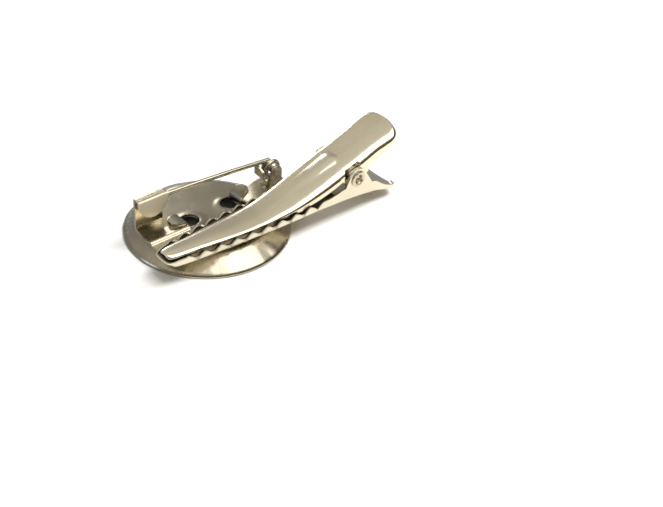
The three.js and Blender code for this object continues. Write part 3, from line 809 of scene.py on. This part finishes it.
def round_plan(rows, nose_x, nose_radius, end_radius):
    """Pulls the section in over the last stretch at the nose and at the lever, so both ends are rounded."""
    for row in rows:
        x = row[0].x
        pull = 1.0
        if nose_radius and nose_x - x < nose_radius:
            into = (nose_radius - (nose_x - x)) / nose_radius
            pull = 1 - 0.22 * (1 - math.sqrt(max(1 - into * into, 0.0)))
        half = abs(row[0].y - CLIP_Y)
        if x - LEVER_END < end_radius:
            into = (end_radius - (x - LEVER_END)) / end_radius
            pull = 1 - (end_radius / half) * 0.8 * (1 - math.sqrt(max(1 - into * into, 0.0)))
        for p in row:
            p.y = CLIP_Y + (p.y - CLIP_Y) * pull
    return rows


NOTCH_IN, NOTCH_OUT, NOTCH_SPAN = 2.0, 2.65, (0.25, 1.85)
RIB_TAIL, RIB_NOSE, RIB_END = -19.4, -7.5, 1.7
RIB_CREST, RIB_FAR, RIB_NEAR, RIB_NARROW, RIB_HEIGHT = -0.5, 1.5, 2.05, 1.1, 0.46


def rib_relief(x, y):
    """The pressed teardrop rib: round by the levers, a soft far slope, a near crease, fading to the nose."""
    along = min(max((x - RIB_TAIL) / (RIB_NOSE - RIB_TAIL), 0.0), 1.0)
    height = RIB_HEIGHT * (1 - smooth(along))
    y -= RIB_CREST
    reach = RIB_FAR - 0.3 * along if y < 0 else lerp(RIB_NEAR, RIB_NARROW, along)
    away = abs(y) / reach
    if x < RIB_TAIL:
        away = math.hypot(away, (RIB_TAIL - x) / RIB_END)
    if away >= 1:
        return 0.0
    return height * (math.cos(away * math.pi / 2) ** 1.6 if y < 0 else 1 - away ** 1.7)


def upper_section(x, half, web, edge):
    lever = smooth((-19.5 - x) / 3.5)
    nose = smooth((x + 16.0) / 16.0)
    half -= 0.5 * smooth((x + 17.0) / 14.0) * smooth((13.0 - x) / 6.0)
    peak = web + lerp(0.5, 0.3, lever) - 0.42 * nose
    near_base = peak - lerp(0.62, 1.6, smooth(x / -20.0))
    low, root = edge, edge
    if -12.2 < x < 10.8:
        lift = -0.25 + smooth(x / -11.5)
        root = min(MESH_Z + TOOTH_HEIGHT * 0.55 + lift, near_base - 0.04)
        low = root - TOOTH_HEIGHT * tooth_height(x, TOOTH_FIRST) * lerp(1.0, 0.5, smooth(x / -9.0))
        fade = smooth((-9.4 - x) / 2.4)
        low, root = lerp(low, edge, fade), lerp(root, edge, fade)
    far_half, far_depth, far_power = half - 0.4, 1.6, lerp(7.0, 4.5, smooth((x + 10.0) / 12.0))
    foot = max(root + 0.04 - (peak - far_depth), 0.0)
    far_top = peak - far_depth + foot
    end = math.pi - math.asin((foot / far_depth) ** (far_power / 2))
    section = arch(half, peak - near_base, near_base, lerp(2.1, 1.8, nose), 24, 0.0, math.pi / 2)
    section += arch(far_half, far_depth, peak - far_depth, far_power, 24, math.pi / 2, end)[1:]
    near_y, far_y = half - 0.02, section[-1][0] + 0.02
    points = [(near_y, lerp(low, near_base, k / 5)) for k in range(5)]
    points += [(y, z + rib_relief(x, y)) for y, z in section]
    points += [(far_y, lerp(low, far_top, k / 5)) for k in range(4, -1, -1)]
    return points


def lower_section(x, half, web, edge):
    lever = smooth((-24.5 - x) / 3.5)
    corner = min(0.95, half * 0.5, max(edge - web, 0.3) * 0.9)
    tip = tooth_height(x, TOOTH_FIRST - TOOTH_PITCH / 2, LOWER_TEETH) if x < 10.8 else 1.0
    high = edge
    if -17.0 < x < 10.9:
        high = MESH_Z + 0.02 + 0.3 * smooth((-8 - x) / 7) + TOOTH_HEIGHT * (tip - 0.5)
        if x < -15.0:
            high = lerp(high, edge, smooth((-15.0 - x) / 2.0))
    bottom = web + corner
    points = []
    for k in range(5):
        t = k / 5
        points.append((half - 0.02, lerp(high, bottom, t)))
    section = arch(half, corner, -bottom, 3.4, 32)
    fold = 0.55 * lever * smooth((LEVER_END + 6.0 - x) / -4.0 + 1.0)
    for y, z in section:
        dish = fold * math.exp(-((y / (half * 0.55)) ** 2))
        points.append((y, -z + dish))
    for k in range(4, -1, -1):
        t = k / 5
        points.append((-(half - 0.02), lerp(high, bottom, t)))
    return points


def ear_outline(radius, foot_nose, foot_tail, turn):
    to_nose = math.atan2(foot_nose[1] - PIVOT.z, foot_nose[0] - PIVOT.x)
    to_tail = math.atan2(foot_tail[1] - PIVOT.z, foot_tail[0] - PIVOT.x)
    nose_reach = math.hypot(foot_nose[0] - PIVOT.x, foot_nose[1] - PIVOT.z)
    tail_reach = math.hypot(foot_tail[0] - PIVOT.x, foot_tail[1] - PIVOT.z)
    start = to_nose + turn * math.acos(radius / nose_reach)
    end = to_tail - turn * math.acos(radius / tail_reach)
    span = (end - start) * turn % (2 * math.pi) * turn
    return [foot_nose, *arc(PIVOT.x, PIVOT.z, radius, start, start + span, 28), foot_tail]


def add_ears(obj, radius, outer, foot_nose, foot_tail, turn, hole=0.95):
    """Welds the two ears on and drills them for the rivet."""
    outline = ear_outline(radius, foot_nose, foot_tail, turn)
    for y in (CLIP_Y + outer - SHEET, CLIP_Y - outer):
        ear = prism("ear", outline, y, y + SHEET, lambda u, v, h: Vector((u, h, v)))
        bevel(ear, 0.09, 3, 40)
        combine(obj, ear, "UNION")
    drill = prism("drill", arc(PIVOT.x, PIVOT.z, hole, 0, 2 * math.pi, 40)[:-1], CLIP_Y - 7, CLIP_Y + 7,
                  lambda u, v, h: Vector((u, h, v)))
    return combine(obj, drill, "DIFFERENCE")


def notch_end(angle, turn):
    """The round end of the curved notch in the upper flange."""
    middle, radius = (NOTCH_OUT + NOTCH_IN) / 2, (NOTCH_OUT - NOTCH_IN) / 2
    start = angle if turn > 0 else angle + math.pi
    x, z = PIVOT.x + middle * math.cos(angle), PIVOT.z + middle * math.sin(angle)
    return arc(x, z, radius, start, start + math.pi, 8)[1:-1]


def make_upper_jaw():
    nose = UPPER_KEYS[0][0]
    stations = jaw_stations(nose, [*tooth_marks(TOOTH_FIRST), 10.8, 10.6, -8.9, -10.6])
    rows = jaw_surface(UPPER_KEYS, upper_section, stations)
    round_plan(rows, nose, 1.3, 2.3)
    obj = solid_sheet("upper_jaw_sheet", rows, SHEET, 1)
    bevel(obj, 0.04, 2, 50)
    add_ears(obj, 2.1, 4.0, (-18.6, 5.4), (-26.6, 7.4), -1)
    for side in (1, -1):
        ring = arc(PIVOT.x, PIVOT.z, NOTCH_OUT, *NOTCH_SPAN, 16) + notch_end(NOTCH_SPAN[1], 1)
        ring += arc(PIVOT.x, PIVOT.z, NOTCH_IN, *NOTCH_SPAN[::-1], 16) + notch_end(NOTCH_SPAN[0], -1)
        notch = prism("notch", ring, CLIP_Y + side * 3.3, CLIP_Y + side * 5.0,
                      lambda u, v, h: Vector((u, h, v)))
        combine(obj, notch, "DIFFERENCE")
    clean(obj)
    obj.name = "upper_jaw_sheet"
    # The faces looking into the upper jaw get the painted-shade material
    mark_faces(obj, faces_inward(UPPER_KEYS))
    return finish_piece(obj, "upper", JAW_STEEL, ["upper_jaw"], second=JAW_INSIDE_SHADE)


def make_lower_jaw():
    nose = LOWER_KEYS[0][0]
    stations = jaw_stations(nose, [*tooth_marks(TOOTH_FIRST - TOOTH_PITCH / 2), 10.9, -15.0, -17.0])
    rows = jaw_surface(LOWER_KEYS, lower_section, stations)
    for row in rows:
        rise = smooth((row[0].x - (nose - 1.3)) / 1.3)
        for p in row:
            p.z += rise * 0.75 * max(0.0, 1 - (p.z - 1.0) / 1.5)
    round_plan(rows, nose, 1.3, 2.0)
    obj = solid_sheet("lower_jaw_sheet", rows, SHEET, -1)
    bevel(obj, 0.04, 2, 50)
    add_ears(obj, 1.85, 4.5, (-18.9, 2.6), (-26.0, 1.9), 1)
    clean(obj)
    obj.name = "lower_jaw_sheet"
    # The faces looking into the lower jaw get the painted-shade material
    mark_faces(obj, faces_inward(LOWER_KEYS))
    return finish_piece(obj, "base", LOWER_STEEL, ["lower_jaw"], second=JAW_INSIDE_SHADE)


def make_jaw_rivet():
    """A domed head on the pin's side; the other end is staked over with a ring of small punch marks."""
    out = 4.5 + GAP
    profile = [(0, -out - 0.6), (0.7, -out - 0.57), (1.2, -out - 0.42), (1.52, -out - 0.22),
               (1.66, -out - 0.06),
               (1.6, -out), (0.88, -out), (0.88, out), (1.34, out), (1.42, out + 0.08), (1.38, out + 0.22),
               (1.22, out + 0.33), (1.0, out + 0.36), (0.82, out + 0.28), (0.72, out + 0.1),
               (0.66, out - 0.25),
               (0.5, out - 0.45), (0.25, out - 0.52), (0, out - 0.53)]
    obj = lathe("jaw_rivet_steel", profile, Vector(PIVOT), (0, 1, 0), 96)

    def stake(bm):
        for vert in bm.verts:
            rel = vert.co - PIVOT
            reach = math.hypot(rel.x, rel.z)
            if rel.y > out + 0.05 and 0.5 < reach:
                a = math.atan2(rel.z, rel.x)
                mark = 0.07 * max(0.0, math.cos(a * 9)) ** 2
                vert.co.y -= mark * math.sin(math.pi * min((reach - 0.5) / 0.86, 1.0))
    edit(obj, stake)
    return finish_piece(obj, "base", RIVET_STEEL, ["jaw_rivet"])


def make_jaw_spring():
    """One wire: one leg lies on the lower lever, the other on the upper, with the coil between; it is hung on
    no body.
    """
    leg_x, leg_z, foot_x, foot_z = -29.6, 8.8, -28.6, 0.7
    half = SPRING_TURNS * SPRING_PITCH / 2
    leg_angle = tangent_angle(PIVOT, SPRING_COIL, leg_x, leg_z, 1)
    foot_angle = tangent_angle(PIVOT, SPRING_COIL, foot_x, foot_z, -1)
    turned = (foot_angle - leg_angle) % (2 * math.pi)
    coil = coil_points(PIVOT, SPRING_COIL, leg_angle, leg_angle - 2 * math.pi * SPRING_TURNS + turned,
                       CLIP_Y + half, CLIP_Y - half)
    leg_end = Vector((leg_x, CLIP_Y + 2.6, leg_z))
    foot_end = Vector((foot_x, CLIP_Y - 2.6, foot_z))
    leg = [coil[0].lerp(leg_end, t) for t in (1, 0.75, 0.5, 0.28, 0.12)]
    foot = [coil[-1].lerp(foot_end, t) for t in (0.12, 0.28, 0.5, 0.75, 1)]
    route = catmull([*leg, *coil, *foot], 2)
    obj = tube("jaw_spring_wire", route, [SPRING_WIRE / 2] * len(route), 14)
    bevel(obj, 0.1, 2, 60)
    finish_piece(obj, None, SPRING_STEEL, ["jaw_spring"])
    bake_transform(obj)
    return obj


# ---- camera, floor and light ----
CAMERA_DISTANCE, CAMERA_RISE, CAMERA_ROLL, CAMERA_TURN = 180.0, 36.39, 3.89, 224.5
TRAY_IN_VIEW = Vector((-20.26, 4.72, TRAY_DEPTH))
CAMERA_LENS = 61.79


def make_camera():
    """The view: the aim point is on the rest plane, and the object stands turned and aside from it."""
    rise, roll = math.radians(CAMERA_RISE), math.radians(CAMERA_ROLL)
    ahead = Vector((0, math.cos(rise), -math.sin(rise)))
    up = Vector((0, math.sin(rise), math.cos(rise)))
    right = Vector((1, 0, 0))
    x_axis = right * math.cos(roll) + up * math.sin(roll)
    y_axis = -right * math.sin(roll) + up * math.cos(roll)
    back = Matrix.Rotation(math.radians(-CAMERA_TURN), 3, "Z")
    axes = [back @ a for a in (x_axis, y_axis, -ahead)]
    place = back @ (-CAMERA_DISTANCE * ahead - TRAY_IN_VIEW)
    data = bpy.data.cameras.new("camera")
    data.sensor_fit = "HORIZONTAL"
    data.sensor_width = 36.0
    data.lens = CAMERA_LENS
    data.clip_start, data.clip_end = 0.005, 20.0
    camera = bpy.data.objects.new("camera", data)
    bpy.context.scene.collection.objects.link(camera)
    turn = Matrix((axes[0], axes[1], axes[2])).transposed().to_4x4()
    camera.matrix_world = Matrix.Translation(place * MM) @ turn
    bpy.context.scene.camera = camera
    return camera


def make_floor():
    """White paper; only for glossy rays is its -Y half painted grey-blue, a painted reflection in the metal, as
    of a half dark table.
    """
    size = 0.6
    z = -TRAY_DEPTH * MM - 0.0001
    floor = mesh_object("floor", [(-size, -size, z), (size, -size, z), (size, size, z), (-size, size, z)],
                        [(0, 1, 2, 3)])
    n = Nodes("floor_paper")
    split = n.add("ShaderNodeSeparateXYZ")
    n.join(n.place, split.inputs["Vector"])
    # Painted reflection: the colour that glossy rays see, grey-blue where y < 0 and white from y = 10 mm on
    painted_reflection = n.mix(n.remap(split.outputs["Y"], 0.0, 1.0, 0.0, 0.01), (0.34, 0.35, 0.4), (1.0, 0.98, 0.93))
    path = n.add("ShaderNodeLightPath")
    n.join(n.mix(path.outputs["Is Glossy Ray"], (0.97, 0.97, 0.97), painted_reflection), n.shader.inputs["Base Color"])
    n.shader.inputs["Roughness"].default_value = 0.9
    floor.data.materials.append(n.material)
    return floor


def panel(name, direction, distance, size, power, colour, along=(1, 0, 0)):
    """A soft light panel facing the object from a direction; its width runs along the given way."""
    data = bpy.data.lights.new(name, "AREA")
    data.shape = "RECTANGLE"
    data.size, data.size_y = size
    data.energy = power
    data.color = colour
    lamp = bpy.data.objects.new(name, data)
    bpy.context.scene.collection.objects.link(lamp)
    direction = Vector(direction).normalized()
    along = Vector(along)
    across = (along - direction * along.dot(direction)).normalized()
    turn = Matrix((across, direction.cross(across), direction)).transposed().to_4x4()
    lamp.matrix_world = Matrix.Translation(direction * distance) @ turn
    return lamp


def make_world():
    """A soft room: dark on one side, tan on the other, both brighter higher up; white behind the paper."""
    world = bpy.data.worlds.new("room")
    bpy.context.scene.world = world
    world.use_nodes = True
    tree = world.node_tree
    place = tree.nodes.new("ShaderNodeTexCoord")
    split = tree.nodes.new("ShaderNodeSeparateXYZ")
    tree.links.new(place.outputs["Generated"], split.inputs["Vector"])
    near = [(0.0, (0.05, 0.045, 0.035)), (0.3, (0.05, 0.042, 0.03)), (0.5, (0.07, 0.06, 0.04)),
            (0.68, (0.2, 0.18, 0.14)), (0.85, (0.5, 0.47, 0.4)), (1.0, (0.62, 0.6, 0.54))]
    far = [(0.0, (0.17, 0.18, 0.22)), (0.15, (0.22, 0.23, 0.27)), (0.4, (0.3, 0.295, 0.29)),
           (0.6, (0.37, 0.35, 0.31)), (0.8, (0.56, 0.53, 0.46)), (1.0, (0.6, 0.58, 0.52))]
    colours = []
    for stops in (near, far):
        ramp = tree.nodes.new("ShaderNodeValToRGB")
        while len(ramp.color_ramp.elements) < len(stops):
            ramp.color_ramp.elements.new(0.5)
        for element, (position, colour) in zip(ramp.color_ramp.elements, stops):
            element.position = position
            element.color = (*colour, 1)
        tree.links.new(split.outputs["Z"], ramp.inputs["Fac"])
        colours.append(ramp.outputs["Color"])
    side = tree.nodes.new("ShaderNodeMapRange")
    side.interpolation_type = "SMOOTHSTEP"
    side.inputs["From Min"].default_value = -0.35
    side.inputs["From Max"].default_value = 0.3
    tree.links.new(split.outputs["Y"], side.inputs["Value"])
    room = tree.nodes.new("ShaderNodeMix")
    room.data_type = "RGBA"
    tree.links.new(side.outputs["Result"], room.inputs["Factor"])
    tree.links.new(colours[1], room.inputs["A"])
    tree.links.new(colours[0], room.inputs["B"])
    path = tree.nodes.new("ShaderNodeLightPath")
    seen = tree.nodes.new("ShaderNodeMix")
    seen.data_type = "RGBA"
    seen.inputs["B"].default_value = (0.96, 0.96, 0.96, 1)
    tree.links.new(path.outputs["Is Camera Ray"], seen.inputs["Factor"])
    tree.links.new(room.outputs["Result"], seen.inputs["A"])
    tree.links.new(seen.outputs["Result"], tree.nodes["Background"].inputs["Color"])
    return world


bpy.context.scene.view_settings.view_transform = "Standard"
make_camera()
make_floor()
make_world()
panel("overhead", (-0.3, 0.3, 0.9), 0.6, (0.5, 0.32), 1.4, (1.0, 0.995, 0.98))
panel("fill", (-0.3, 0.3, 0.9), 0.6, (0.5, 0.2), 2.4, (1.0, 0.995, 0.98)).visible_glossy = False
panel("far_window", (-0.3, -0.87, 0.42), 0.6, (0.22, 0.17), 0.62, (1.0, 1.0, 1.0))
panel("cool_side", (0.85, -0.45, 0.35), 0.6, (0.2, 0.2), 0.3, (0.62, 0.76, 1.0))

make_tray()
make_bar()
make_pin()
make_pin_rivet()
make_lower_jaw()
make_upper_jaw()
make_jaw_rivet()
make_jaw_spring()
